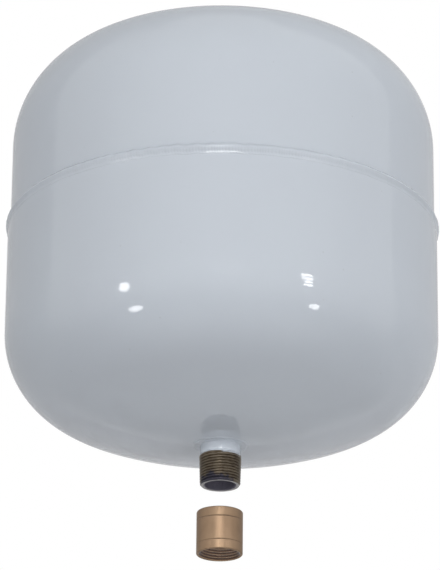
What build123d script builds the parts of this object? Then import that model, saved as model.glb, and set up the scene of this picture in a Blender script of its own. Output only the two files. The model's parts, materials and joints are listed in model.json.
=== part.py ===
"""Pre-cooling vessel for a solar heating loop, in millimetres, standing on the Z axis.

Two deep-drawn steel shells lap at the middle and are welded all round. A steel nipple with a
pipe thread is welded into the middle of each end, and a brass coupling screws onto the bottom one.
The origin is the middle of the top nipple's thread, because the pipe there holds the vessel up.
"""

from build123d import *

import os
from math import sqrt

# Drawn shells: outside sizes, with heights counted from the lower shell's rim
body_radius = 140.0
sheet = 1.5
lower_straight = 74.5
lower_knuckle = 56.8
lower_crown = 275.0
upper_straight = 55.5
upper_knuckle = 67.0
upper_crown = 390.0

# Lap joint: the upper shell's skirt slips inside the lower shell's rim
lap_depth = 8.0
lap_gap = 0.1

# Seam weld: a bead with a main crest above the rim and a lower one beside it
bead_reach = 3.6
bead_stand = 1.4
bead_groove_stand = 0.9
bead_edge_stand = 1.15

# Nipples: R 3/4 pipe thread, with its major diameter at the gauge plane
thread_diameter = 26.44
thread_length = 19.3
thread_chamfer = 0.9
nipple_bore_diameter = 20.0
bore_chamfer = 0.4
shank_diameter = 25.9
collar_length = 7.2
inner_reach = 3.0
hole_gap = 0.2

# Fillet welds around the nipples
fillet_width = 5.0
fillet_height = 2.0
fillet_hollow = 0.4

# Brass coupling, screwed off and hanging below the bottom nipple
coupling_length = 28.0
coupling_wall = 1.45
thread_play = 0.08
coupling_round = 0.8
mouth_chamfer = 0.5
groove_inset = 6.1
groove_width = 0.8
groove_depth = 0.4
coupling_gap = 18.0


def dome_rise(radius, knuckle, crown):
    """Height of a dished end above its skirt, from its outside radii."""
    return crown - sqrt((crown - knuckle) ** 2 - (radius - knuckle) ** 2)


# Worked out from the sizes above
upper_radius = body_radius - sheet - lap_gap
upper_height = upper_straight + dome_rise(upper_radius, upper_knuckle, upper_crown)
lower_height = lower_straight + dome_rise(body_radius, lower_knuckle, lower_crown)
shank_radius = shank_diameter / 2
thread_radius = thread_diameter / 2
bore_radius = nipple_bore_diameter / 2
hole_radius = shank_radius + hole_gap
fillet_radius = shank_radius + fillet_width
coupling_bore_radius = thread_radius + thread_play
coupling_radius = coupling_bore_radius + coupling_wall

# Levels along the axis
top_end = thread_length / 2
seam_level = top_end - thread_length - collar_length - upper_height
bottom_end = seam_level - lower_height - collar_length - thread_length
coupling_top = bottom_end - coupling_gap


def turned(outline):
    """Solid of revolution about Z from the closed outline of its half section in the XZ plane."""
    return revolve(Plane.XZ * make_face(outline), axis=Axis.Z)


def dished_plug(radius, straight, knuckle, crown, rim):
    """Solid with a skirt from rim up to straight, a knuckle arc and a crown arc, dome upwards."""
    knuckle_centre = (radius - knuckle, straight)
    crown_centre = (0, straight + dome_rise(radius, knuckle, crown) - crown)
    skirt = Line((radius, rim), (radius, straight))
    lean = Vector(*knuckle_centre, 0) - Vector(*crown_centre, 0)
    meet = lean.get_angle(Vector(1, 0, 0))
    knuckle_arc = CenterArc(knuckle_centre, knuckle, 0, meet)
    crown_arc = CenterArc(crown_centre, crown, meet, 90 - meet)
    closing = Polyline((0, crown_centre[1] + crown), (0, rim), (radius, rim))
    return turned([skirt, knuckle_arc, crown_arc, closing])


def drawn_shell(radius, straight, knuckle, crown, rim):
    """Pressed sheet cup, dome upwards, with the nipple's hole in the middle of its crown."""
    outside = dished_plug(radius, straight, knuckle, crown, rim)
    inside = dished_plug(radius - sheet, straight, knuckle - sheet, crown - sheet, rim - sheet)
    apex = straight + dome_rise(radius, knuckle, crown)
    hole = Pos(0, 0, apex) * Cylinder(hole_radius, 2 * (sheet + collar_length))
    return outside - inside - hole


def make_lower_shell():
    """Lower cup: its rim is the wider one and ends at the seam."""
    cup = drawn_shell(body_radius, lower_straight, lower_knuckle, lower_crown, 0)
    return Pos(0, 0, seam_level) * mirror(cup, about=Plane.XY)


def make_upper_shell():
    """Upper cup: its skirt goes down inside the lower cup's rim by the lap."""
    cup = drawn_shell(upper_radius, upper_straight, upper_knuckle, upper_crown, -lap_depth)
    return Pos(0, 0, seam_level) * cup


def make_seam_weld():
    """Bead over the lower shell's rim, from the upper shell's wall to the lower shell's wall."""
    top_toe = (upper_radius, bead_reach)
    crest = (body_radius + bead_stand, bead_reach / 6)
    groove = (body_radius + bead_groove_stand, -bead_reach * 0.4)
    edge = (body_radius + bead_edge_stand, -bead_reach * 0.65)
    bottom_toe = (body_radius, -bead_reach)
    section = [
        ThreePointArc(top_toe, crest, groove),
        ThreePointArc(groove, edge, bottom_toe),
        Polyline(bottom_toe, (body_radius, 0), (upper_radius, 0), top_toe),
    ]
    return Pos(0, 0, seam_level) * turned(section)


def make_nipple():
    """Half nipple standing up from the vessel: shank, plain thread zone and chamfered end.

    Its zero is the shell's apex; the thread's helix is left plain here at its major diameter.
    """
    end = collar_length + thread_length
    tube = turned(
        Polyline(
            (bore_radius, -sheet - inner_reach),
            (shank_radius, -sheet - inner_reach),
            (shank_radius, collar_length),
            (thread_radius, collar_length),
            (thread_radius, end - thread_chamfer),
            (thread_radius - thread_chamfer, end),
            (bore_radius + bore_chamfer, end),
            (bore_radius, end - bore_chamfer),
            close=True,
        )
    )
    return tube


def make_nipple_weld(crown):
    """Hollow fillet weld between the nipple's shank and a crown of that radius, apex at zero."""

    def on_crown(radius):
        return (radius, sqrt(crown**2 - radius**2) - crown)

    root = on_crown(shank_radius)
    toe = on_crown(fillet_radius)
    climb = (shank_radius, root[1] + fillet_height)
    middle = ((toe[0] + climb[0]) / 2 - fillet_hollow, (toe[1] + climb[1]) / 2 - fillet_hollow)
    on_shell = ThreePointArc(root, on_crown((shank_radius + fillet_radius) / 2), toe)
    return turned([on_shell, ThreePointArc(toe, middle, climb), Line(climb, root)])


def at_top(piece):
    """Place a piece that is built on a crown's apex on the top of the vessel."""
    return Pos(0, 0, seam_level + upper_height) * piece


def at_bottom(piece):
    """Place a piece that is built on a crown's apex, turned over, on the bottom of the vessel."""
    return Pos(0, 0, seam_level - lower_height) * mirror(piece, about=Plane.XY)


def make_coupling():
    """Brass socket: straight bore, rounded outer corners and a fine V groove near each end."""
    half = coupling_length / 2
    groove_level = half - groove_inset
    upper_side = [
        (coupling_radius, half),
        (coupling_radius, groove_level + groove_width / 2),
        (coupling_radius - groove_depth, groove_level),
        (coupling_radius, groove_level - groove_width / 2),
    ]
    lower_side = [(x, -y) for x, y in reversed(upper_side)]
    bore_side = [
        (coupling_bore_radius + mouth_chamfer, -half),
        (coupling_bore_radius, mouth_chamfer - half),
        (coupling_bore_radius, half - mouth_chamfer),
        (coupling_bore_radius + mouth_chamfer, half),
    ]
    socket = turned(Polyline(*upper_side, *lower_side, *bore_side, close=True))
    corners = [
        edge
        for edge in socket.edges().filter_by(GeomType.CIRCLE)
        if abs(abs(edge.center().Z) - half) < 1e-6 and abs(edge.radius - coupling_radius) < 1e-6
    ]
    return Pos(0, 0, coupling_top - half) * fillet(corners, coupling_round)


pieces = {
    "upper_shell": make_upper_shell(),
    "lower_shell": make_lower_shell(),
    "seam_weld": make_seam_weld(),
    "top_nipple": at_top(make_nipple()),
    "top_nipple_weld": at_top(make_nipple_weld(upper_crown)),
    "bottom_nipple": at_bottom(make_nipple()),
    "bottom_nipple_weld": at_bottom(make_nipple_weld(lower_crown)),
    "coupling": make_coupling(),
}

os.makedirs("parts", exist_ok=True)
for name, shape in pieces.items():
    export_step(shape, f"parts/{name}.step")
print(f"seam {seam_level:.2f}, bottom end {bottom_end:.2f}, coupling top {coupling_top:.2f}")
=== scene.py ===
# %% [markdown]
# Pre-cooling vessel, dressed and lit
#
# The part is a small steel vessel for a solar heating loop. Two deep-drawn shells lap at the
# middle, a weld closes the lap, and a threaded nipple is welded into each end. A brass coupling
# hangs unscrewed below the bottom nipple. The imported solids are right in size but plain: this
# lesson gives them their weld ripples, their threads, their enamel and a studio to stand in.
#
# Everything here is in metres, and the part's own frame is kept: Z is the vessel's axis.

import json
from math import acos, atan2, cos, pi, radians, sin, sqrt

import bpy
import numpy as np
from mathutils import Matrix, Vector


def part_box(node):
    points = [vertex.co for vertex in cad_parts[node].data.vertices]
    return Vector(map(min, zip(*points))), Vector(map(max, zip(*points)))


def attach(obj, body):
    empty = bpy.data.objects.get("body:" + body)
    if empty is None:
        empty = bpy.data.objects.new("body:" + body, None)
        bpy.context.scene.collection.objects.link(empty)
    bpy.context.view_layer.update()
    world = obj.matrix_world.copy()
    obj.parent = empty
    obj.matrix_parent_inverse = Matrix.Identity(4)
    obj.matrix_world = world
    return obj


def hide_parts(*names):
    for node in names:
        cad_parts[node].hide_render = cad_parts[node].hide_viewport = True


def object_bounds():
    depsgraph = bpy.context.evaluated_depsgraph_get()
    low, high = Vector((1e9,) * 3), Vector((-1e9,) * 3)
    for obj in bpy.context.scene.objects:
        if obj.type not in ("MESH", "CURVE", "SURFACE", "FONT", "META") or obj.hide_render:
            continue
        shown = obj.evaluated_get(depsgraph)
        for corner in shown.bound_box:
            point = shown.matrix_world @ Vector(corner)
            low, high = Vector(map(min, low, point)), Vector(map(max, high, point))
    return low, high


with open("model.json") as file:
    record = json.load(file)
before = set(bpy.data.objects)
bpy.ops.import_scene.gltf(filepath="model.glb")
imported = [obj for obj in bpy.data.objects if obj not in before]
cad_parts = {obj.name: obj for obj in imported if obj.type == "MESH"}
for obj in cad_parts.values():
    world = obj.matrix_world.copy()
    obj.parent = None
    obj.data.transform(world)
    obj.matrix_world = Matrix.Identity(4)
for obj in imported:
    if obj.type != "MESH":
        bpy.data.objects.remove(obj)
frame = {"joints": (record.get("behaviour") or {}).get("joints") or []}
cad_box = [list(corner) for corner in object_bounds()]

# %% Levels along the axis, read from the frame
MM = 0.001
lower_low, lower_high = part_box("lower_shell")
upper_low, upper_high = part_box("upper_shell")
coupling_low, coupling_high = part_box("coupling")
nipple_low, nipple_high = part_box("bottom_nipple")

seam_level = lower_high.z
lower_apex = lower_low.z
upper_apex = upper_high.z
body_radius = lower_high.x
upper_radius = upper_high.x
widest_radius = cad_box[1][0]
coupling_middle = (coupling_low.z + coupling_high.z) / 2
coupling_half = (coupling_high.z - coupling_low.z) / 2
coupling_radius = coupling_high.x
coupling_travel = frame["joints"][0]["range_m"][1]
print(f"seam {seam_level:.4f}, lower apex {lower_apex:.4f}, upper apex {upper_apex:.4f}")

# %% Sizes that the frame doesn't give
sheet = 1.5 * MM
lap_depth = 8 * MM
lower_straight, lower_knuckle, lower_crown = 74.5 * MM, 56.8 * MM, 275 * MM
upper_straight, upper_knuckle, upper_crown = 55.5 * MM, 67 * MM, 390 * MM

thread_pitch = 25.4 * MM / 14
thread_radius = 13.22 * MM
thread_taper = 1 / 32
gauge_length = 9.5 * MM
shank_radius = 12.95 * MM
bore_radius = 10 * MM
collar_length = 7.2 * MM
inner_reach = 4.5 * MM
nipple_length = lower_apex - nipple_low.z
print(f"the nipple stands {nipple_length / MM:.1f} mm out of the shell")

# %% [markdown]
# Half sections
#
# Every piece of this vessel was turned, drawn or welded round one axis. So each one starts as a
# half section, a closed line of points (radius, height) that runs anticlockwise: up the outside,
# in over the top and down the inside. Lathe tools or a Screw modifier could turn that line too.
# Arrays are chosen here because a weld's ripples and a thread's helix change the radius with the
# angle, and an array can hold that at no extra cost.

# %% Lines for half sections
def arc(centre, radius, start, end, steps):
    """Points on a circle: centre plus radius times (cos, sin) of evenly spaced angles."""
    angle = np.linspace(start, end, steps)
    return np.column_stack([centre[0] + radius * np.cos(angle), centre[1] + radius * np.sin(angle)])


def eased_corners(points, reach, steps=4):
    """Closed outline with each corner rounded off.

    A corner P becomes a parabola from P moved by the reach towards the point before it, to P
    moved by the reach towards the point after it. One more point stands a little outside each
    end, which keeps the shading of the flat beside the corner flat.
    """
    corner = np.asarray(points, float)[:, None, :]
    back = np.roll(corner, 1, axis=0) - corner
    ahead = np.roll(corner, -1, axis=0) - corner
    back_length = np.linalg.norm(back, axis=2, keepdims=True)
    ahead_length = np.linalg.norm(ahead, axis=2, keepdims=True)
    size = np.minimum(reach, 0.3 * np.minimum(back_length, ahead_length))
    back = back / back_length * size
    ahead = ahead / ahead_length * size
    t = np.linspace(0, 1, steps)[None, :, None]
    rounded = corner + (1 - t) ** 2 * back + t**2 * ahead
    return np.concatenate([corner + 1.5 * back, rounded, corner + 1.5 * ahead], axis=1).reshape(-1, 2)


def smooth_through(points, steps):
    """Open curve through all the points: a Catmull-Rom spline, with its end points repeated."""
    p = np.asarray(points, float)
    p = np.vstack([2 * p[0] - p[1], p, 2 * p[-1] - p[-2]])
    t = np.linspace(0, 1, steps, endpoint=False)[None, :, None]
    a, b, c, d = (p[i : len(p) - 3 + i, None, :] for i in range(4))
    curve = b + 0.5 * t * (c - a + t * (2 * a - 5 * b + 4 * c - d + t * (3 * (b - c) + d - a)))
    return np.vstack([curve.reshape(-1, 2), p[-2]])


# %% Surfaces spun from half sections
def spun(radius, height, columns):
    """Grid of points of a surface round Z: (radius cos turn, radius sin turn, height).

    Rows follow the half section and columns the turn. Radius and height may be one value a row,
    or a whole grid where the surface isn't round, as on a thread.
    """
    turn = np.linspace(0, 2 * pi, columns, endpoint=False)
    rows = len(radius)
    radius = np.broadcast_to(np.reshape(radius, (rows, -1)), (rows, columns))
    height = np.broadcast_to(np.reshape(height, (rows, -1)), (rows, columns))
    return np.stack([radius * np.cos(turn), radius * np.sin(turn), height], axis=-1)


def stood(grid, level, turned_over=False):
    """Grid lifted to a level on the axis, after half a turn about X where it is turned over.

    A turn keeps a right-hand thread right-handed and the faces outwards; a mirror wouldn't.
    """
    flip = np.array([1.0, -1.0, -1.0]) if turned_over else np.ones(3)
    return grid * flip + (0.0, 0.0, level)


def ring_mesh(name, grid, sharp_angle=40):
    """Mesh object whose rows and columns both close on themselves, so that it has no border.

    Each quad goes one column on, one row on, and back. It prints its triangles and its volume,
    which is the sum of a . (b x c) / 6 over the triangles and is positive if faces look outwards.
    """
    rows, columns = grid.shape[:2]
    index = np.arange(rows * columns).reshape(rows, columns)
    beside = np.roll(index, -1, axis=1)
    quads = np.stack([index, beside, np.roll(beside, -1, axis=0), np.roll(index, -1, axis=0)], axis=-1)
    quads = quads.reshape(-1, 4)
    points = grid.reshape(-1, 3)
    mesh = bpy.data.meshes.new(name)
    mesh.from_pydata(points.tolist(), [], quads.tolist())
    mesh.shade_smooth()
    mesh.set_sharp_from_angle(angle=radians(sharp_angle))
    piece = bpy.data.objects.new(name, mesh)
    bpy.context.scene.collection.objects.link(piece)
    a, b, c, d = (points[quads[:, k]] for k in range(4))
    volume = np.sum(a * np.cross(b, c) + a * np.cross(c, d)) / 6
    print(f"{name}: {2 * len(quads)} triangles, {volume * 1e6:.2f} cubic centimetres")
    return piece


# %% [markdown]
# Drawn shells
#
# Each shell was pressed from one disc of sheet: a straight skirt, then a tight knuckle arc, then
# a wide crown arc. A sphere that is scaled flat comes close, but its curvature changes all the
# way, and the reflections in the enamel would slide to the wrong places. So the section is made
# of the same line and two arcs that the press tool has. Near the seam the heat of the weld has
# pulled the wall in by a tenth or two of a millimetre, which is why a faint line shows there.

# %% The two shells
def cup_face(radius, straight, knuckle, crown, rim):
    """One face of a drawn cup, from its rim up to the nipple's hole in its crown.

    Both arcs meet where the line through their centres crosses them: at the angle whose
    tangent is the difference in height over the difference in radius of the two centres.
    """
    hole = shank_radius + 0.2 * MM
    crown_centre = straight - sqrt((crown - knuckle) ** 2 - (radius - knuckle) ** 2)
    meet = atan2(straight - crown_centre, radius - knuckle)
    skirt_steps = 40
    skirt = np.column_stack([np.full(skirt_steps, radius), np.linspace(rim, straight, skirt_steps)])
    knuckle_arc = arc((radius - knuckle, straight), knuckle, 0, meet, 40)
    crown_arc = arc((0, crown_centre), crown, meet, acos(hole / crown), 48)
    return np.vstack([skirt[:-1], knuckle_arc[:-1], crown_arc])


def shell_grid(radius, straight, knuckle, crown, rim, columns=288):
    """Closed wall of a drawn cup: outer face up, inner face down, one sheet apart."""
    outer = cup_face(radius, straight, knuckle, crown, rim)
    inner = cup_face(radius - sheet, straight, knuckle - sheet, crown - sheet, rim)
    section = np.vstack([outer, inner[::-1]])
    pulled_in = 0.16 * MM * np.exp(-((section[:, 1] / (5 * MM)) ** 2))
    return spun(section[:, 0] - pulled_in, section[:, 1], columns)


lower_grid = shell_grid(body_radius, lower_straight, lower_knuckle, lower_crown, 0.0)
upper_grid = shell_grid(upper_radius, upper_straight, upper_knuckle, upper_crown, -lap_depth)
lower_shell = ring_mesh("drawn_lower_shell", stood(lower_grid, seam_level, turned_over=True))
upper_shell = ring_mesh("drawn_upper_shell", stood(upper_grid, seam_level))

# %% [markdown]
# Seam weld
#
# The bead was laid while the vessel turned under the torch, so its ripples are even but never
# quite equal, and its edges wander by a few tenths of a millimetre. Over it lies the same enamel
# as on the shells. A displacement texture could do this at render time only. The ripples are put
# into the mesh instead, so that they are there in the outline and in any other program.

# %% A wandering line round the vessel
def wander(turn, waves, size, seed):
    """Sum of cosines round the circle, with seeded amplitudes and phases, scaled to a given rms."""
    chance = np.random.default_rng(seed)
    waves = np.asarray(waves)
    amplitude = chance.uniform(0.4, 1.0, len(waves))
    phase = chance.uniform(0, 2 * pi, len(waves))
    line = (amplitude[:, None] * np.cos(np.outer(waves, turn) + phase[:, None])).sum(axis=0)
    return size * line / line.std()


# %% The seam weld
bead_front = [
    (upper_radius - 0.30 * MM, 3.6 * MM),
    (upper_radius + 0.45 * MM, 2.8 * MM),
    (body_radius + 0.60 * MM, 1.2 * MM),
    (body_radius + 1.30 * MM, -0.1 * MM),
    (body_radius + 0.98 * MM, -1.4 * MM),
    (body_radius + 0.48 * MM, -2.6 * MM),
    (body_radius + 0.24 * MM, -3.5 * MM),
    (body_radius + 0.18 * MM, -4.2 * MM),
    (body_radius - 0.10 * MM, -5.0 * MM),
]
bead_back = [(body_radius - 0.9 * MM, -4.4 * MM), (upper_radius - 0.8 * MM, 2.4 * MM)]


def bead_grid(columns=2400, ripple_length=1.9 * MM):
    """Weld bead: its front is a smooth curve with one crest over a long low toe,
    pushed in by crescent ripples.

    A ripple is a cosine of the distance round the vessel over the ripple's length, later on the
    bead's middle than at its edges, and it fades out at both toes.
    """
    front = smooth_through(bead_front, 4)
    across = np.linspace(0, 1, len(front))[:, None]
    turn = np.linspace(0, 2 * pi, columns, endpoint=False)
    ripples = round(2 * pi * body_radius / ripple_length)
    phase = ripples * turn + wander(turn, range(20, 90, 3), 0.9, seed=3)
    crescent = np.cos(phase + 3.0 * np.sin(pi * across))
    fade = np.sin(pi * across) ** 0.7
    ripple = -0.030 * MM * (1 - crescent) * fade
    swell = wander(turn, range(25, 160, 5), 0.045 * MM, seed=5) * fade
    sway = wander(turn, range(18, 120, 4), 0.13 * MM, seed=8)
    radius = np.minimum(front[:, :1] + ripple + swell, widest_radius)
    height = front[:, 1:] + sway
    back = np.array(bead_back)[:, :, None] * np.ones(columns)
    rows = [radius, back[:, 0]], [height, back[:, 1]]
    radius, height = (np.vstack(side)[::-1] for side in rows)
    return spun(radius, height, columns)


seam_weld = ring_mesh("rippled_seam_weld", stood(bead_grid(), seam_level), sharp_angle=60)

# %% [markdown]
# Threaded nipples
#
# A nipple is a short steel tube with a right-hand pipe thread, 14 turns to the inch on a cone of
# 1 in 16. A coil modifier could carry a tooth round it, but then the end and the run-out need
# booleans. One formula for the radius gives everything: the cone, less the tooth's cut, and never
# more than the chamfer at the end. The same tooth is used again inside the coupling, shifted so
# that both threads mesh where the coupling is screwed home.

# %% The tooth of the pipe thread
tooth_depth = 0.6403 * thread_pitch


def tooth_cut(turns):
    """Share of the tooth's depth that is cut away, for a phase in turns: 0 at crests, 1 at roots.

    A triangle wave is stretched and clipped, which flattens crests and roots, and half of it is
    eased by 3x2 - 2x3, which rounds them.
    """
    wave = 1 - np.abs(2 * (turns % 1.0) - 1)
    ramp = np.clip((wave - 1 / 6) * 1.5, 0, 1)
    return 0.5 * ramp + 0.5 * ramp**2 * (3 - 2 * ramp)


# %% Nipples
def nipple_grid(columns=192, steps_a_turn=16):
    """Half nipple, with height counted outwards from the apex of the shell that it stands on."""
    tip_radius = 12.1 * MM
    wash_out = 1.6 * thread_pitch
    turn = np.linspace(0, 2 * pi, columns, endpoint=False)
    steps = int((nipple_length - collar_length) / thread_pitch * steps_a_turn)
    height = np.linspace(collar_length, nipple_length, steps)[:, None]
    cone = thread_radius + (nipple_length - gauge_length - height) * thread_taper
    full = np.clip((height - collar_length) / wash_out, 0, 1)
    cut = tooth_depth * tooth_cut(height / thread_pitch - turn / (2 * pi)) * (0.35 + 0.65 * full)
    stepped = shank_radius + (cone - shank_radius) * np.clip((height - collar_length) / (0.5 * MM), 0, 1)
    chamfer = tip_radius + (nipple_length - height)
    thread = np.minimum(np.minimum(cone - cut, stepped), chamfer)

    rim = [(bore_radius + 0.4 * MM, nipple_length), (bore_radius, nipple_length - 0.4 * MM)]
    corners = [(bore_radius, -inner_reach), (shank_radius, -inner_reach), (shank_radius, 0), (tip_radius, 0)]
    foot = eased_corners(corners, 0.25 * MM)
    head = eased_corners([(tip_radius, nipple_length), *rim, (bore_radius, 0)], 0.1 * MM)
    each = len(foot) // 4
    foot, head = foot[: 2 * each], head[each : 3 * each]
    shank_rows = np.linspace(-3 * MM, collar_length - 0.1 * MM, 60)
    lip = 0.24 * MM * np.exp(-(((collar_length - 0.35 * MM - shank_rows) / (0.25 * MM)) ** 2))
    dip = 0.10 * MM * np.exp(-(((collar_length - 1.3 * MM - shank_rows) / (0.5 * MM)) ** 2))
    shank = np.column_stack([shank_radius + lip - dip, shank_rows])
    end_face = np.array([(tip_radius - 0.2 * MM, nipple_length)])
    radius = np.vstack([np.repeat(side[:, :1], columns, axis=1) for side in (foot, shank)])
    tip = np.vstack([end_face, head])
    radius = np.vstack([radius, thread, np.repeat(tip[:, :1], columns, axis=1)])
    heights = np.concatenate([foot[:, 1], shank[:, 1], height[:, 0], tip[:, 1]])
    return spun(radius, heights, columns)


top_nipple = ring_mesh("threaded_top_nipple", stood(nipple_grid(), upper_apex), sharp_angle=70)
bottom_grid = stood(nipple_grid(), lower_apex, turned_over=True)
bottom_nipple = ring_mesh("threaded_bottom_nipple", bottom_grid, sharp_angle=70)

# %% [markdown]
# Nipple welds
#
# A fillet weld runs round the foot of each nipple. It climbs the shank by 1 mm and spreads 5 mm
# over the shell, where it ends in a low rounded step. It shows the welder's steps more strongly
# than the seam does, because it was laid by hand.

# %% Nipple welds
def fillet_grid(crown, seed, columns=480, rows=20):
    """Fillet ring: from its toe on the crown, over a low step beside it, up to the shank.

    The crown's height under a radius is the root of (crown squared less radius squared), less
    the crown. Steps round the ring and a slow wander of the toe are added to that section.
    """
    def on_crown(radius):
        return sqrt(crown**2 - radius**2) - crown

    toe_radius = shank_radius + 5.0 * MM
    climb = on_crown(shank_radius) + 1.1 * MM
    toe_height = on_crown(toe_radius)
    section = [(4.4, 0.55), (3.7, 0.85), (2.6, 0.72), (1.2, 0.62)]
    middle = [(shank_radius + r * MM, on_crown(shank_radius + r * MM) + h * MM) for r, h in section]
    front = smooth_through([(toe_radius, toe_height), *middle, (shank_radius - 0.05 * MM, climb)], rows // 4)
    across = np.linspace(0, 1, len(front))[:, None]
    turn = np.linspace(0, 2 * pi, columns, endpoint=False)
    fade = np.sin(pi * across) ** 0.8
    steps = 46 * turn + wander(turn, range(3, 12), 0.7, seed=seed)
    push = 0.05 * MM * np.cos(steps + 2.2 * fade) * fade + wander(turn, range(4, 18), 0.06 * MM, seed + 1)
    toe_push = wander(turn, range(3, 20), 0.22 * MM, seed + 2) * (1 - across) ** 2
    radius = front[:, :1] + push * 0.7 + toe_push
    height = front[:, 1:] + push * 0.7
    back = np.array([(shank_radius - 0.3 * MM, climb - 0.2 * MM), (shank_radius - 0.3 * MM, toe_height - 0.5 * MM),
                     (toe_radius - 0.4 * MM, toe_height - 0.5 * MM)])[:, :, None] * np.ones(columns)
    return spun(np.vstack([radius, back[:, 0]]), np.vstack([height, back[:, 1]]), columns)


bottom_weld_grid = stood(fillet_grid(lower_crown, seed=21), lower_apex, turned_over=True)
bottom_nipple_weld = ring_mesh("fillet_of_bottom_nipple", bottom_weld_grid, sharp_angle=60)
top_weld_grid = stood(fillet_grid(upper_crown, seed=31), upper_apex)
top_nipple_weld = ring_mesh("fillet_of_top_nipple", top_weld_grid, sharp_angle=60)

# %% [markdown]
# Brass coupling
#
# The coupling was turned from bar: rounded outer corners, a fine V groove near each end, a
# countersink at each mouth, and a parallel thread right through. The female thread is the male
# tooth's own formula seen from outside, at the height where it stands when it is screwed home,
# plus a running play, so the two can never cut through each other on the way.

# %% The coupling
groove_inset = 6.1 * MM
groove_width = 0.9 * MM
groove_depth = 0.42 * MM
mouth_radius = 13.55 * MM
thread_play = 0.08 * MM


def coupling_grid(columns=192, steps_a_turn=16):
    """Brass socket about its own middle: eased outside, threaded inside.

    Inside, the radius is the thread's major radius plus play, less the tooth's cut at the phase
    that the male thread has there, and never less than the countersink at either mouth.
    """
    groove = coupling_half - groove_inset
    turn = np.linspace(0, 2 * pi, columns, endpoint=False)
    upper_side = [
        (coupling_radius, groove - groove_width / 2),
        (coupling_radius - groove_depth, groove),
        (coupling_radius, groove + groove_width / 2),
    ]
    lower_side = [(radius, -height) for radius, height in reversed(upper_side)]
    corners = eased_corners([*lower_side, *upper_side], 0.12 * MM, steps=3)
    rounding = 0.8 * MM
    foot = arc((coupling_radius - rounding, rounding - coupling_half), rounding, -pi / 2, 0, 8)
    head = arc((coupling_radius - rounding, coupling_half - rounding), rounding, 0, pi / 2, 8)
    middle = np.column_stack([np.full(12, coupling_radius), np.linspace(-6 * MM, 6 * MM, 12)])
    half_way = len(corners) // 2
    outside = np.vstack([foot, corners[:half_way], middle, corners[half_way:], head])

    steps = int(2 * coupling_half / thread_pitch * steps_a_turn)
    height = np.linspace(coupling_half, -coupling_half, steps)[:, None]
    home = coupling_middle + height + coupling_travel - lower_apex
    cut = tooth_depth * tooth_cut(home / thread_pitch - turn / (2 * pi))
    sink = mouth_radius - (coupling_half - np.abs(height))
    inside = np.maximum(thread_radius + thread_play - cut, sink)
    radius = np.vstack([np.repeat(outside[:, :1], columns, axis=1), inside])
    return spun(radius, np.concatenate([outside[:, 1], height[:, 0]]), columns)


coupling = ring_mesh("turned_coupling", stood(coupling_grid(), coupling_middle), sharp_angle=70)

# %% [markdown]
# Shared effects
#
# Two effects are used by more than one finish, so each is a node group that is built once. The
# first is what a spray gun leaves: a fine orange peel, slow clouds of thicker and thinner film,
# and a few specks of dust. The second is what a lathe and handling leave on bare metal: rings
# that depend on the height only, a grain, and stains. Groups give out masks and heights only,
# and each material decides what they mean there.

# %% Small helpers for node trees
def new_tree_group(name, inputs, outputs):
    """Empty shader group with named sockets. It returns the tree and its two end nodes."""
    tree = bpy.data.node_groups.new(name, "ShaderNodeTree")
    for label, kind, value in inputs:
        socket = tree.interface.new_socket(label, in_out="INPUT", socket_type=kind)
        if value is not None:
            socket.default_value = value
    for label in outputs:
        tree.interface.new_socket(label, in_out="OUTPUT", socket_type="NodeSocketFloat")
    return tree, tree.nodes.new("NodeGroupInput"), tree.nodes.new("NodeGroupOutput")


def math_node(tree, operation, first, second=None, clamp=False):
    """Math node whose operands are sockets or numbers. It returns its output socket."""
    node = tree.nodes.new("ShaderNodeMath")
    node.operation = operation
    node.use_clamp = clamp
    for socket, value in zip(node.inputs, (first, second)):
        if isinstance(value, bpy.types.NodeSocket):
            tree.links.new(value, socket)
        elif value is not None:
            socket.default_value = value
    return node.outputs[0]


def ranged(tree, value, low, high, to_low=0.0, to_high=1.0, kind="SMOOTHSTEP"):
    """Map Range node: the value from low..high goes to to_low..to_high and is clamped there."""
    node = tree.nodes.new("ShaderNodeMapRange")
    node.interpolation_type = kind
    for label, number in (("From Min", low), ("From Max", high), ("To Min", to_low), ("To Max", to_high)):
        node.inputs[label].default_value = number
    tree.links.new(value, node.inputs["Value"])
    return node.outputs["Result"]


def noise(tree, place, scale, detail=2.0, roughness=0.5):
    """Noise texture at a place; its scale may be a socket or a number of features to the metre."""
    node = tree.nodes.new("ShaderNodeTexNoise")
    node.inputs["Detail"].default_value = detail
    node.inputs["Roughness"].default_value = roughness
    tree.links.new(place, node.inputs["Vector"])
    if isinstance(scale, bpy.types.NodeSocket):
        tree.links.new(scale, node.inputs["Scale"])
    else:
        node.inputs["Scale"].default_value = scale
    return node.outputs["Fac"]


def mixed(tree, factor, first, second):
    """Colour mix of two colours, which may be sockets or plain triples."""
    node = tree.nodes.new("ShaderNodeMix")
    node.data_type = "RGBA"
    tree.links.new(factor, node.inputs["Factor"])
    for label, colour in (("A", first), ("B", second)):
        socket = next(s for s in node.inputs if s.name == label and s.type == "RGBA")
        if isinstance(colour, bpy.types.NodeSocket):
            tree.links.new(colour, socket)
        else:
            socket.default_value = (*colour, 1.0)
    return next(s for s in node.outputs if s.type == "RGBA")


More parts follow.
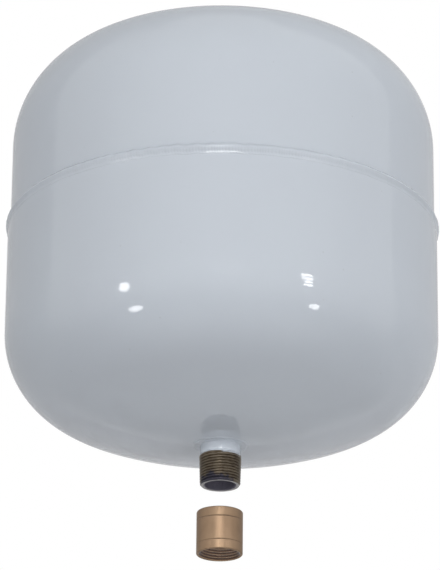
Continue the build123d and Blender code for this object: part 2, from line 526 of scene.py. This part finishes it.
# %% Group: what the spray gun leaves
film, film_in, film_out = new_tree_group(
    "sprayed_film",
    [
        ("Place", "NodeSocketVector", None),
        ("Peel Scale", "NodeSocketFloat", 420.0),
        ("Cloud Scale", "NodeSocketFloat", 9.0),
        ("Dust Scale", "NodeSocketFloat", 160.0),
    ],
    ["Peel", "Clouds", "Dust"],
)
peel = noise(film, film_in.outputs["Place"], film_in.outputs["Peel Scale"], detail=1.0)
film.links.new(peel, film_out.inputs["Peel"])
clouds = noise(film, film_in.outputs["Place"], film_in.outputs["Cloud Scale"], detail=3.0)
film.links.new(ranged(film, clouds, 0.3, 0.7), film_out.inputs["Clouds"])
specks = film.nodes.new("ShaderNodeTexVoronoi")
film.links.new(film_in.outputs["Place"], specks.inputs["Vector"])
film.links.new(film_in.outputs["Dust Scale"], specks.inputs["Scale"])
speck_cells = film.nodes.new("ShaderNodeSeparateColor")
film.links.new(specks.outputs["Color"], speck_cells.inputs["Color"])
rare = ranged(film, speck_cells.outputs["Red"], 0.93, 0.95, kind="LINEAR")
near = ranged(film, specks.outputs["Distance"], 0.05, 0.12, 1.0, 0.0)
film.links.new(math_node(film, "MULTIPLY", rare, near), film_out.inputs["Dust"])
print("group", film.name, [s.name for s in film.interface.items_tree])

# %% Group: what the lathe and handling leave
worked, worked_in, worked_out = new_tree_group(
    "worked_metal",
    [
        ("Place", "NodeSocketVector", None),
        ("Ring Scale", "NodeSocketFloat", 2600.0),
        ("Grain Scale", "NodeSocketFloat", 1500.0),
        ("Stain Scale", "NodeSocketFloat", 130.0),
    ],
    ["Rings", "Grain", "Stains"],
)
worked_place = worked.nodes.new("ShaderNodeSeparateXYZ")
worked.links.new(worked_in.outputs["Place"], worked_place.inputs["Vector"])
rings = worked.nodes.new("ShaderNodeTexNoise")
rings.noise_dimensions = "1D"
rings.inputs["Detail"].default_value = 2.0
worked.links.new(worked_place.outputs["Z"], rings.inputs["W"])
worked.links.new(worked_in.outputs["Ring Scale"], rings.inputs["Scale"])
worked.links.new(rings.outputs["Fac"], worked_out.inputs["Rings"])
grain = noise(worked, worked_in.outputs["Place"], worked_in.outputs["Grain Scale"], detail=2.0)
worked.links.new(grain, worked_out.inputs["Grain"])
stains = noise(worked, worked_in.outputs["Place"], worked_in.outputs["Stain Scale"], detail=4.0)
worked.links.new(ranged(worked, stains, 0.35, 0.68), worked_out.inputs["Stains"])
print("group", worked.name, [s.name for s in worked.interface.items_tree])

# %% [markdown]
# Enamel
#
# The vessel is sprayed in a pale bluish grey and baked. The film is smooth enough to show lamps
# as sharp shapes, with a slight waver from the orange peel. Colour comes from the pigment, so it
# is a plain dielectric: nearly all the change over the surface is in how thick the film lies.

# %% Materials: start and enamel
def new_material(name, **constants):
    """Material with a Principled shader whose constant sockets are set straight on it."""
    material = bpy.data.materials.new(name)
    material.use_nodes = True
    tree = material.node_tree
    shader = tree.nodes["Principled BSDF"]
    for label, value in constants.items():
        shader.inputs[label.replace("_", " ")].default_value = value
    return material, tree, shader


def place_in(tree, group, **values):
    """Group node fed with Object coordinates and this material's own values."""
    node = tree.nodes.new("ShaderNodeGroup")
    node.node_tree = group
    coordinates = tree.nodes.new("ShaderNodeTexCoord")
    tree.links.new(coordinates.outputs["Object"], node.inputs["Place"])
    for label, value in values.items():
        node.inputs[label.replace("_", " ")].default_value = value
    return node


def bumped(tree, shader, height, distance, strength=1.0):
    """Bump of a height, in metres of relief, into the shader's Normal."""
    node = tree.nodes.new("ShaderNodeBump")
    node.inputs["Distance"].default_value = distance
    node.inputs["Strength"].default_value = strength
    tree.links.new(height, node.inputs["Height"])
    tree.links.new(node.outputs["Normal"], shader.inputs["Normal"])


enamel_grey = (0.520, 0.562, 0.615)
enamel_thin = (0.507, 0.546, 0.600)
dust_grey = (0.36, 0.37, 0.38)

enamel, tree, shader = new_material("grey_enamel", Metallic=0.0, IOR=1.5)
sprayed = place_in(tree, film)
cloudy = mixed(tree, sprayed.outputs["Clouds"], enamel_grey, enamel_thin)
dusty = mixed(tree, math_node(tree, "MULTIPLY", sprayed.outputs["Dust"], 0.35), cloudy, dust_grey)
tree.links.new(dusty, shader.inputs["Base Color"])
tree.links.new(ranged(tree, sprayed.outputs["Clouds"], 0, 1, 0.05, 0.07), shader.inputs["Roughness"])
bumped(tree, shader, sprayed.outputs["Peel"], 0.010 * MM)
print("material", enamel.name)

# %% [markdown]
# Bare inside
#
# Inside, the shells stay as drawn: grey steel with a trace of drawing oil. It shows only through
# the bores, but a cut or exploded view will show it, so it gets its own finish on its own faces.

# %% Material: bare drawn steel
lining, tree, shader = new_material("bare_drawn_steel", Metallic=0.9)
drawn = place_in(tree, worked, Ring_Scale=400.0, Grain_Scale=500.0, Stain_Scale=22.0)
oiled = mixed(tree, drawn.outputs["Stains"], (0.30, 0.30, 0.30), (0.21, 0.20, 0.185))
tree.links.new(oiled, shader.inputs["Base Color"])
tree.links.new(ranged(tree, drawn.outputs["Stains"], 0, 1, 0.38, 0.55), shader.inputs["Roughness"])
bumped(tree, shader, drawn.outputs["Rings"], 0.01 * MM)
print("material", lining.name)

# %% [markdown]
# Nipple finish
#
# The collar was painted together with the shell, with the thread masked off, so the paint stops in
# a slightly ragged line. The bare thread is dark: olive brown where cutting oil has dried on it,
# and coloured nearly black towards the end, over the widest band on the side to the camera's left.
# The paint reaches the first crest on the right. The end face was cut last and is bare. Both nipples share one
# material,
# so it works with the distance from the nearer apex: the height above the vessel's middle without
# its sign, less half of the vessel's height.

# %% Where on a nipple: its own masks
def about_axis(tree, azimuth=0.0):
    """Three sockets from Object coordinates: the level, the distance from the axis, and the cosine
    of the angle round the axis from an azimuth, which is counted from the camera's side.
    """
    place = tree.nodes.new("ShaderNodeTexCoord").outputs["Object"]
    split = tree.nodes.new("ShaderNodeSeparateXYZ")
    tree.links.new(place, split.inputs["Vector"])
    x, y, z = (split.outputs[k] for k in range(3))
    squares = math_node(tree, "ADD", math_node(tree, "MULTIPLY", x, x), math_node(tree, "MULTIPLY", y, y))
    radius = math_node(tree, "SQRT", squares)
    turned = math_node(tree, "MULTIPLY", x, sin(radians(azimuth)))
    turned = math_node(tree, "ADD", turned, math_node(tree, "MULTIPLY", y, -cos(radians(azimuth))))
    return z, radius, math_node(tree, "DIVIDE", turned, radius)


# %% Material: painted collar and oiled thread
nipple_steel, tree, shader = new_material("painted_and_oiled_steel", IOR=1.5)
sprayed = place_in(tree, film, Peel_Scale=700.0, Cloud_Scale=90.0)
turned_steel = place_in(tree, worked, Ring_Scale=900.0, Grain_Scale=1400.0, Stain_Scale=260.0)
vessel_middle = (upper_apex + lower_apex) / 2
vessel_half = (upper_apex - lower_apex) / 2
level, radius, painted_side = about_axis(tree, azimuth=38.0)
from_middle = math_node(tree, "ABSOLUTE", math_node(tree, "SUBTRACT", level, vessel_middle))
out_of_shell = math_node(tree, "SUBTRACT", from_middle, vessel_half)

ragged = math_node(tree, "MULTIPLY", math_node(tree, "SUBTRACT", sprayed.outputs["Clouds"], 0.5), 0.3 * MM)
reached = math_node(tree, "ADD", out_of_shell, ragged)
painted = ranged(tree, reached, collar_length - 0.05 * MM, collar_length + 0.1 * MM, 1.0, 0.0)
first_crest = math_node(
    tree,
    "MULTIPLY",
    ranged(tree, radius, thread_radius - 0.25 * MM, thread_radius - 0.1 * MM),
    ranged(tree, reached, collar_length + 1.7 * MM, collar_length + 2.1 * MM, 1.0, 0.0),
)
touched = math_node(tree, "MULTIPLY", first_crest, ranged(tree, painted_side, 0.80, 0.88))
painted = math_node(tree, "MAXIMUM", painted, touched)

# Towards its end the thread is coloured nearly black, over the widest band on the side 25 degrees left of the
# camera's side.
dark_end_side = about_axis(tree, azimuth=-25.0)[2]
dark_end_shift = math_node(tree, "MULTIPLY", math_node(tree, "SUBTRACT", 1.0, dark_end_side), -8 * MM)
stain_shift = math_node(tree, "MULTIPLY", turned_steel.outputs["Stains"], 3 * MM)
dark_end_level = math_node(tree, "ADD", math_node(tree, "ADD", out_of_shell, dark_end_shift), stain_shift)
dark_end = ranged(tree, dark_end_level, nipple_length - 5.5 * MM, nipple_length - 2.5 * MM)

in_bore = ranged(tree, radius, bore_radius + 0.05 * MM, bore_radius + 0.5 * MM, 1.0, 0.0)
cut_end = ranged(tree, out_of_shell, nipple_length - 0.12 * MM, nipple_length - 0.02 * MM)

olive = mixed(tree, turned_steel.outputs["Stains"], (0.165, 0.135, 0.098), (0.100, 0.078, 0.056))
colour = mixed(tree, dark_end, olive, (0.050, 0.047, 0.064))
colour = mixed(tree, cut_end, colour, (0.34, 0.33, 0.33))
colour = mixed(tree, in_bore, colour, (0.19, 0.18, 0.23))
collar_paint = mixed(tree, sprayed.outputs["Clouds"], enamel_grey, enamel_thin)
tree.links.new(mixed(tree, painted, colour, collar_paint), shader.inputs["Base Color"])
bare = math_node(tree, "SUBTRACT", 1.0, math_node(tree, "MAXIMUM", painted, in_bore))
tree.links.new(math_node(tree, "MULTIPLY", bare, 0.75), shader.inputs["Metallic"])
tree.links.new(ranged(tree, painted, 0, 1, 0.36, 0.10, "LINEAR"), shader.inputs["Roughness"])
bumped(tree, shader, math_node(tree, "ADD", turned_steel.outputs["Grain"], painted), 0.03 * MM)
print("material", nipple_steel.name)

# %% [markdown]
# Brass
#
# The coupling is turned brass that has dulled to a matt tan. It is a full metal, so its colour
# tints its reflections. Fine rings from the lathe run round it, and slow stains of darker brown
# gather on it where it was handled. Inside the thread the brass is painted a dark brown, as
# painted shade in the bore.

# %% Material: dull brass
brass, tree, shader = new_material("dull_turned_brass", Metallic=1.0)
turned_brass = place_in(tree, worked, Ring_Scale=2300.0, Grain_Scale=2200.0, Stain_Scale=95.0)
tan = mixed(tree, turned_brass.outputs["Stains"], (0.300, 0.205, 0.132), (0.270, 0.182, 0.117))
level, radius, facing = about_axis(tree)
# Inside the thread the base colour is a dark brown: painted shade in the bore.
in_thread_shade = ranged(tree, radius, thread_radius - 0.35 * MM, thread_radius + 0.15 * MM, 1.0, 0.0)
colour = mixed(tree, in_thread_shade, tan, (0.085, 0.052, 0.040))
tree.links.new(colour, shader.inputs["Base Color"])
tree.links.new(ranged(tree, in_thread_shade, 0, 1, 0.47, 0.30, "LINEAR"), shader.inputs["Roughness"])
ring_and_grain = math_node(tree, "ADD", turned_brass.outputs["Rings"], turned_brass.outputs["Grain"])
bumped(tree, shader, ring_and_grain, 0.012 * MM)
print("material", brass.name)

# %% [markdown]
# Dressing the frame
#
# Each surface stands for one solid of the imported model. It rides on the same body, so the joint
# moves it.

# %% Dress every node
def line_inside(piece, material, inner_rows, rows):
    """Give a material of its own to the last rows of a shell, which are its inner face."""
    piece.data.materials.append(material)
    columns = len(piece.data.polygons) // rows
    slots = np.zeros(len(piece.data.polygons), dtype=np.int32)
    slots[(rows - inner_rows) * columns :] = 1
    piece.data.polygons.foreach_set("material_index", slots)


dressed = [
    (upper_shell, "upper_shell", "vessel", enamel, "paint"),
    (lower_shell, "lower_shell", "vessel", enamel, "paint"),
    (seam_weld, "seam_weld", "vessel", enamel, "paint"),
    (top_nipple, "top_nipple", "vessel", nipple_steel, "thread_steel"),
    (top_nipple_weld, "top_nipple_weld", "vessel", enamel, "paint"),
    (bottom_nipple, "bottom_nipple", "vessel", nipple_steel, "thread_steel"),
    (bottom_nipple_weld, "bottom_nipple_weld", "vessel", enamel, "paint"),
    (coupling, "coupling", "coupling", brass, "brass"),
]
for piece, node, body, material, slot in dressed:
    piece.data.materials.append(material)
    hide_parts(node)
    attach(piece, body)
for shell, grid in ((upper_shell, upper_grid), (lower_shell, lower_grid)):
    line_inside(shell, lining, len(grid) // 2, len(grid))
coupling.visible_glossy = False
print("dressed", len(dressed), "pieces")

# %% [markdown]
# Camera
#
# The photograph was taken from 2.43 m away with a long lens, well below the vessel: the camera
# looks up by 22.4 degrees. Its own small tilt, 0.8 degrees, brings the vessel to its place in
# the upright frame, and it leans by half a degree.

# %% Camera
camera_distance = 2.43034
camera_rise = radians(22.42)
aimed_level = -0.14686
camera_data = bpy.data.cameras.new("photo_camera")
camera_data.sensor_width = 36.0
camera_data.lens = 234.74
camera = bpy.data.objects.new("photo_camera", camera_data)
bpy.context.scene.collection.objects.link(camera)
camera.matrix_world = (
    Matrix.Translation((0, -camera_distance * cos(camera_rise), aimed_level - camera_distance * sin(camera_rise)))
    @ Matrix.Rotation(pi / 2 + camera_rise, 4, "X")
    @ Matrix.Rotation(radians(0.03), 4, "Y")
    @ Matrix.Rotation(radians(-0.82), 4, "X")
    @ Matrix.Rotation(radians(0.54), 4, "Z")
)
bpy.context.scene.camera = camera
print("camera at", [round(value, 4) for value in camera.location])

# %% [markdown]
# Lamps
#
# The enamel mirrors the studio, so the lamps are placed where their images lie in it: a soft
# round one on the left, a window of four strips on the right, each with a weaker partner near
# the floor, and a wide faint one in front. An angle on the left or right is counted from the
# camera's side. A lamp that is seen in a mirror-like paint has to have its true size as well.
# Five wide softboxes give the soft shading and aren't mirrored. Two more lamps are linked to the
# small pieces alone: one lights the collar, and the other is only mirrored, for the small glints
# on the welds, the nipple and the brass.

# %% Lamps
belly = Vector((0, 0, -0.232))


def towards(azimuth, elevation):
    """Unit vector from the belly: azimuth 0 is the camera's side, and positive is to its right."""
    a, e = radians(azimuth), radians(elevation)
    return Vector((sin(a) * cos(e), -cos(a) * cos(e), sin(e)))


def lamp(name, azimuth, elevation, width, height, brightness, distance=3.0, shape="RECTANGLE"):
    """Area lamp that faces the belly, with its size in degrees as seen from there.

    Its power is brightness times pi times its area, so a white card in front of it would look
    as bright as that number, and a mirror shows it that bright.
    """
    data = bpy.data.lights.new(name, "AREA")
    data.shape = shape
    data.size = 2 * distance * sin(radians(width) / 2)
    data.size_y = 2 * distance * sin(radians(height) / 2)
    area = data.size * data.size_y * (pi / 4 if shape == "ELLIPSE" else 1.0)
    data.energy = brightness * pi * area
    source = bpy.data.objects.new(name, data)
    bpy.context.scene.collection.objects.link(source)
    direction = towards(azimuth, elevation)
    source.location = belly + direction * distance
    source.rotation_mode = "QUATERNION"
    source.rotation_quaternion = direction.to_track_quat("Z", "Y")
    source.visible_camera = False
    return source


def softbox(name, azimuth, elevation, width, card, distance=3.0):
    """Wide round lamp that lights the paint but isn't mirrored in it.

    Card is how bright a white card at the belly looks by this lamp alone: its brightness times
    its solid angle over pi.
    """
    area = pi * (distance * sin(radians(width) / 2)) ** 2
    brightness = card * pi * distance**2 / area
    source = lamp(name, azimuth, elevation, width, width, brightness, distance, "ELLIPSE")
    source.visible_glossy = False
    return source


for strip, elevation in enumerate((8.9, 5.2, 1.5, -2.2)):
    lamp(f"window_strip_{strip}", 43.6, elevation, 4.4, 2.1, 18.0)
lamp("window_post", 40.4, 7.2, 0.9, 6.5, 18.0)
lamp("window_near_floor", 51.0, -24.0, 4.6, 5.6, 11.0)
lamp("round_lamp", -50.0, -3.4, 6.0, 10.5, 12.5, shape="ELLIPSE")
lamp("round_lamp_near_floor", -48.9, -29.6, 7.5, 6.5, 10.5, shape="ELLIPSE")
for spread, share in ((22.0, 0.5), (16.0, 0.7), (10.0, 0.8)):
    lamp(f"front_glow_{spread:.0f}", 3.5, 9.0, spread * 0.8, spread, share, shape="ELLIPSE")

softbox("soft_left", -42.0, 10.0, 40.0, 0.32)
softbox("soft_right", 48.0, 6.0, 40.0, 0.16)
softbox("soft_front", -8.0, 32.0, 30.0, 0.32)
softbox("soft_low_right", 55.0, -50.0, 30.0, 0.46)
softbox("soft_behind", 180.0, 22.4, 16.0, 0.9)


def only_for(source, pieces):
    """Light linking: the lamp lights these pieces alone."""
    receivers = bpy.data.collections.new(f"{source.name}_receivers")
    for piece in pieces:
        receivers.objects.link(piece)
    source.light_linking.receiver_collection = receivers


collar_light = softbox("collar_light", -6.0, 8.0, 24.0, 0.36)
only_for(collar_light, (bottom_nipple,))
glint_lamp = lamp("glint_lamp", -1.0, 10.0, 13.0, 14.0, 16.0)
glint_lamp.visible_diffuse = False
only_for(glint_lamp, (seam_weld, bottom_nipple, bottom_nipple_weld, coupling))

# %% [markdown]
# World
#
# What the camera sees behind the vessel is plain white, and mirrors and glass see it as well.
# The light itself is softer: a dome that is brightest on the right and fades to none on the left,
# where the soft lamps take over. A dome's brightness that follows the cosine of the angle to one direction
# is the simplest smooth one, and two numbers are enough to match the photograph's shading.

# %% World
ambient_mean = 0.10
ambient_slope = 0.80
ambient_least = 0.0
brightest = (1.0, 0.0, 0.0)

world = bpy.data.worlds.new("studio_air")
bpy.context.scene.world = world
world.use_nodes = True
tree = world.node_tree
background = tree.nodes["Background"]
sky = tree.nodes.new("ShaderNodeTexCoord")
toward = tree.nodes.new("ShaderNodeVectorMath")
toward.operation = "DOT_PRODUCT"
tree.links.new(sky.outputs["Generated"], toward.inputs[0])
toward.inputs[1].default_value = brightest
sloped = math_node(tree, "MULTIPLY", toward.outputs["Value"], ambient_slope)
ambient = math_node(tree, "MAXIMUM", math_node(tree, "ADD", sloped, ambient_mean), ambient_least)
path = tree.nodes.new("ShaderNodeLightPath")
seen = math_node(tree, "MAXIMUM", path.outputs["Is Camera Ray"], path.outputs["Is Glossy Ray"])
seen = math_node(tree, "MAXIMUM", seen, path.outputs["Is Transmission Ray"])
tree.links.new(mixed(tree, seen, ambient, (1.0, 1.0, 1.0)), background.inputs["Color"])
print("world", world.name)

# %% [markdown]
# Floor and wall
#
# The floor lies far below the vessel, so the photograph's view from below isn't cut off. A camera
# that stands lower than the floor, as one that looks up steeply does, sees only its underside.
# Near the vessel the floor is a pale matt surface that takes a shadow, and further out it fades
# to the white of the world. The wall is a half round grey card behind the vessel that only mirrors see: without
# it the vessel's edges would mirror pure white, and in the photograph they stay grey.

# %% Floor
floor_level = -2.3
floor_reach = 40.0


def stage_mesh(name, points, faces, material):
    """Stage object from points and faces. It isn't part of the object."""
    mesh = bpy.data.meshes.new(name)
    mesh.from_pydata(points, [], faces)
    mesh.materials.append(material)
    thing = bpy.data.objects.new(name, mesh)
    bpy.context.scene.collection.objects.link(thing)
    return thing


floor_paint, tree, shader = new_material("pale_floor", Roughness=1.0)
shader.inputs["Specular IOR Level"].default_value = 0.0
place = tree.nodes.new("ShaderNodeTexCoord").outputs["Object"]
away = tree.nodes.new("ShaderNodeVectorMath")
away.operation = "LENGTH"
tree.links.new(place, away.inputs[0])
path = tree.nodes.new("ShaderNodeLightPath")
pale = mixed(tree, path.outputs["Is Diffuse Ray"], (0.86, 0.86, 0.86), (0.75, 0.75, 0.76))
tree.links.new(pale, shader.inputs["Base Color"])
white = tree.nodes.new("ShaderNodeEmission")
white.inputs["Strength"].default_value = 1.0
seen = math_node(tree, "SUBTRACT", 1.0, path.outputs["Is Diffuse Ray"])
far = math_node(tree, "MULTIPLY", ranged(tree, away.outputs["Value"], 1.5, 9.0), seen)
blend = tree.nodes.new("ShaderNodeMixShader")
tree.links.new(far, blend.inputs["Fac"])
tree.links.new(shader.outputs["BSDF"], blend.inputs[1])
tree.links.new(white.outputs["Emission"], blend.inputs[2])
tree.links.new(blend.outputs["Shader"], tree.nodes["Material Output"].inputs["Surface"])
corners = [(-1, -1), (1, -1), (1, 1), (-1, 1)]
floor_points = [(x * floor_reach, y * floor_reach, floor_level) for x, y in corners]
stage_mesh("studio_floor", floor_points, [(0, 1, 2, 3)], floor_paint)

# %% Wall that only mirrors see
wall_paint = bpy.data.materials.new("grey_card")
wall_paint.use_nodes = True
tree = wall_paint.node_tree
tree.nodes.remove(tree.nodes["Principled BSDF"])
glow = tree.nodes.new("ShaderNodeEmission")
glow.inputs["Color"].default_value = (0.58, 0.58, 0.59, 1.0)
tree.links.new(glow.outputs["Emission"], tree.nodes["Material Output"].inputs["Surface"])

wall_radius, wall_height, wall_edge = 6.0, 25.0, 101
angles = np.radians(np.linspace(wall_edge, 360 - wall_edge, 33))
foot = np.column_stack([wall_radius * np.sin(angles), -wall_radius * np.cos(angles), np.full(33, floor_level)])
wall_points = np.vstack([foot, foot + (0, 0, wall_height)]).tolist()
wall_faces = [(i, i + 1, i + 34, i + 33) for i in range(32)]
wall = stage_mesh("grey_wall", wall_points, wall_faces, wall_paint)
wall.visible_camera = False
wall.visible_diffuse = False
wall.visible_shadow = False
wall.visible_transmission = False

# %% Finish
bpy.context.scene.view_settings.view_transform = "Standard"
